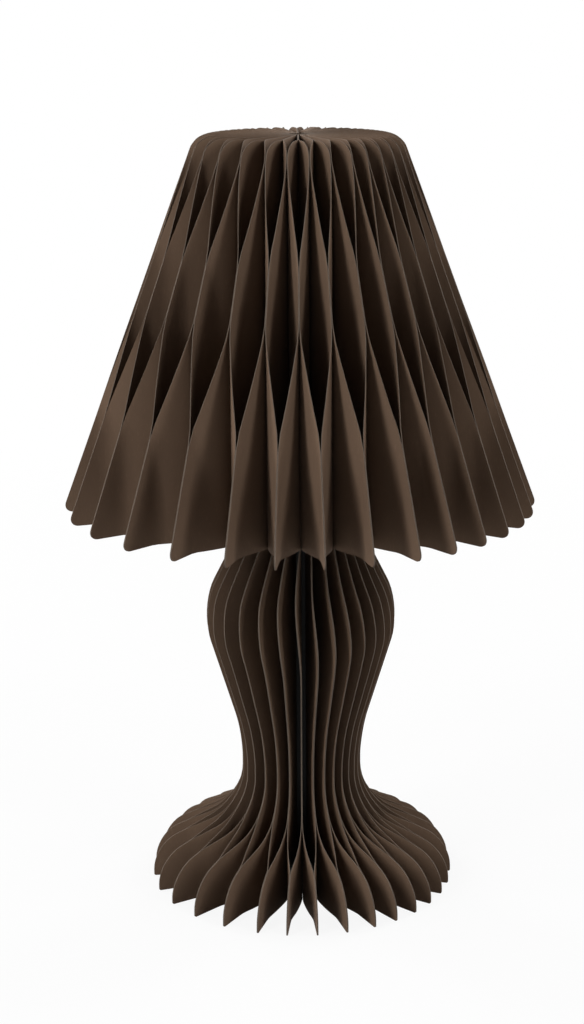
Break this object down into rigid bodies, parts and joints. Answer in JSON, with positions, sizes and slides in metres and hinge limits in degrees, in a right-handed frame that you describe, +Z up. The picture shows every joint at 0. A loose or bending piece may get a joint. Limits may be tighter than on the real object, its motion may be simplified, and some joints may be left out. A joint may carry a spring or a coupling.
{
  "type": "table lamp",
  "caption": "Pleated paper table lamp: vase, foot and shade are one honeycomb of die-cut paper leaves round a battery light unit.",
  "frame": {"origin": "on the surface the lamp stands on, at the lamp's axis", "axes": "+Z up along the lamp's axis, -Y towards the viewer of the reference view"},
  "size_m": [0.2105, 0.2102, 0.344],
  "materials": {
    "paper": "matte",
    "seam_board": "matte",
    "magnet": "polished",
    "base_plastic": "matte",
    "foot_rubber": "matte",
    "button_plastic": "satin",
    "zinc_screw": "satin",
    "ballast_steel": "satin",
    "circuit_board": "satin",
    "black_moulding": "matte",
    "socket_steel": "satin",
    "stem_aluminium": "satin",
    "contact_nickel": "satin",
    "cell_wrap": "gloss",
    "wire_insulation": "satin",
    "light_board": "satin",
    "diffuser": "matte"
  },
  "bodies": {
    "light_unit": {"base_shell": "base_plastic", "bottom_plate": "base_plastic", "base_screws": "zinc_screw", "ballast_ring": "ballast_steel", "rubber_foot_ring": "foot_rubber", "control_board": "circuit_board", "board_screws": "zinc_screw", "board_components": "black_moulding", "usb_c_socket": "socket_steel", "tact_switch": "black_moulding", "stem_tube": "stem_aluminium", "cell_seat_lower": "black_moulding", "cell_contact_minus": "contact_nickel", "battery_cell": "cell_wrap", "cell_contact_plus": "contact_nickel", "cell_seat_upper": "black_moulding", "lead_wires": "wire_insulation", "diffuser_collar": "base_plastic", "led_post": "stem_aluminium", "led_strips": "light_board", "diffuser_tube": "diffuser", "diffuser_cap": "base_plastic"},
    "paper_body": {"leaf_pair_01": "paper", "leaf_pair_02": "paper", "leaf_pair_03": "paper", "leaf_pair_04": "paper", "leaf_pair_05": "paper", "leaf_pair_06": "paper", "leaf_pair_07": "paper", "leaf_pair_08": "paper", "leaf_pair_09": "paper", "leaf_pair_10": "paper", "leaf_pair_11": "paper", "leaf_pair_12": "paper", "leaf_pair_13": "paper", "leaf_pair_14": "paper", "leaf_pair_15": "paper", "leaf_pair_16": "paper", "leaf_pair_17": "paper", "leaf_pair_18": "paper", "leaf_pair_19": "paper", "leaf_pair_20": "paper", "leaf_pair_21": "paper", "leaf_pair_22": "paper", "leaf_pair_23": "paper", "leaf_pair_24": "paper", "leaf_pair_25": "paper", "leaf_pair_26": "paper", "leaf_pair_27": "paper", "leaf_pair_28": "paper", "leaf_pair_29": "paper", "leaf_pair_30": "paper", "leaf_pair_31": "paper", "leaf_pair_32": "paper", "seam_board_right": "seam_board", "seam_board_left": "seam_board", "seam_magnets": "magnet"},
    "power_button": {"button_cap": "button_plastic", "switch_plunger": "black_moulding"}
  },
  "joints": [
    {"name": "paper_lift", "type": "slide", "parent": "light_unit", "child": "paper_body", "axis": [0, 0, 1], "range_m": [0, 0.33]},
    {"name": "button_press", "type": "slide", "parent": "light_unit", "child": "power_button", "axis": [0, 0, 1], "range_m": [0, 0.0005], "stiffness_N_per_m": 1500, "springref_m": -0.0003}
  ]
}
